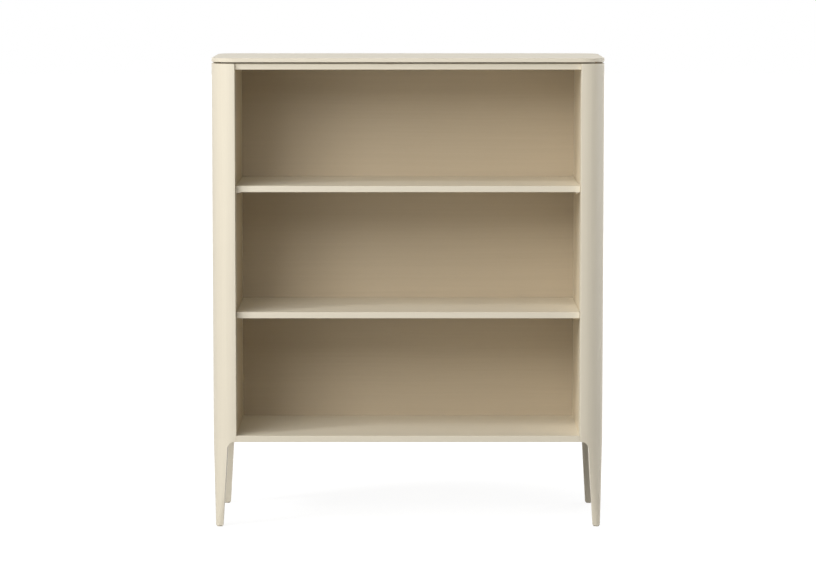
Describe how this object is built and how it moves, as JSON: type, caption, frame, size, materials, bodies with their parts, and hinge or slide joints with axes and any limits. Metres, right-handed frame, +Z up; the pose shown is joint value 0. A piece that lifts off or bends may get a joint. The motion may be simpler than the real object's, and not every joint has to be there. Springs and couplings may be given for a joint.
{
  "type": "bookcase",
  "caption": "Open low bookcase with round-cornered posts on tapered legs, a thin floating top, loose shelves on pins and a grooved-in back.",
  "frame": {"origin": "on the floor, under the middle of the unit", "axes": "+Z up, +X along the unit to the right as seen from the front, +Y to the back"},
  "size_m": [1, 0.4, 1.2],
  "materials": {
    "lacquered_posts": "satin cream lacquer over upright grain",
    "lacquered_sides": "satin cream lacquer over upright grain",
    "lacquered_boards": "satin cream lacquer over grain along the unit",
    "lacquered_back": "satin cream lacquer over faint grain along the unit",
    "plain_wood": "bare planed wood",
    "nickel_steel": "nickel plated",
    "zinc_steel": "zinc plated",
    "insert_brass": "turned brass",
    "glide_plastic": "moulded cream plastic"
  },
  "bodies": {
    "root": {"front_left_post": "lacquered_posts", "front_right_post": "lacquered_posts", "rear_left_post": "lacquered_posts", "rear_right_post": "lacquered_posts", "left_inner_side_panel": "lacquered_sides", "left_outer_side_panel": "lacquered_sides", "left_lower_side_rail": "plain_wood", "left_upper_side_rail": "plain_wood", "right_inner_side_panel": "lacquered_sides", "right_outer_side_panel": "lacquered_sides", "right_lower_side_rail": "plain_wood", "right_upper_side_rail": "plain_wood", "top_panel": "lacquered_boards", "top_spacer": "lacquered_boards", "case_top_panel": "lacquered_boards", "case_bottom_panel": "lacquered_boards", "back_panel": "lacquered_back", "side_rail_dowels": "plain_wood", "case_board_dowels": "plain_wood", "upper_shelf_pins": "nickel_steel", "lower_shelf_pins": "nickel_steel", "cam_bolts": "zinc_steel", "cam_discs": "zinc_steel", "top_screws": "zinc_steel", "foot_inserts": "insert_brass"},
    "upper_shelf": {"upper_shelf": "lacquered_boards"},
    "lower_shelf": {"lower_shelf": "lacquered_boards"},
    "front_left_glide": {"front_left_glide_base": "glide_plastic", "front_left_glide_screw": "zinc_steel"},
    "front_right_glide": {"front_right_glide_base": "glide_plastic", "front_right_glide_screw": "zinc_steel"},
    "rear_left_glide": {"rear_left_glide_base": "glide_plastic", "rear_left_glide_screw": "zinc_steel"},
    "rear_right_glide": {"rear_right_glide_base": "glide_plastic", "rear_right_glide_screw": "zinc_steel"}
  },
  "joints": [
    {"name": "upper_shelf_pull_out", "type": "slide", "parent": "root", "child": "upper_shelf", "axis": [0, -1, 0], "range_m": [0, 0.4]},
    {"name": "lower_shelf_pull_out", "type": "slide", "parent": "root", "child": "lower_shelf", "axis": [0, -1, 0], "range_m": [0, 0.4]},
    {"name": "front_left_glide_height", "type": "slide", "parent": "root", "child": "front_left_glide", "axis": [0, 0, -1], "range_m": [0, 0.008]},
    {"name": "front_right_glide_height", "type": "slide", "parent": "root", "child": "front_right_glide", "axis": [0, 0, -1], "range_m": [0, 0.008]},
    {"name": "rear_left_glide_height", "type": "slide", "parent": "root", "child": "rear_left_glide", "axis": [0, 0, -1], "range_m": [0, 0.008]},
    {"name": "rear_right_glide_height", "type": "slide", "parent": "root", "child": "rear_right_glide", "axis": [0, 0, -1], "range_m": [0, 0.008]}
  ]
}
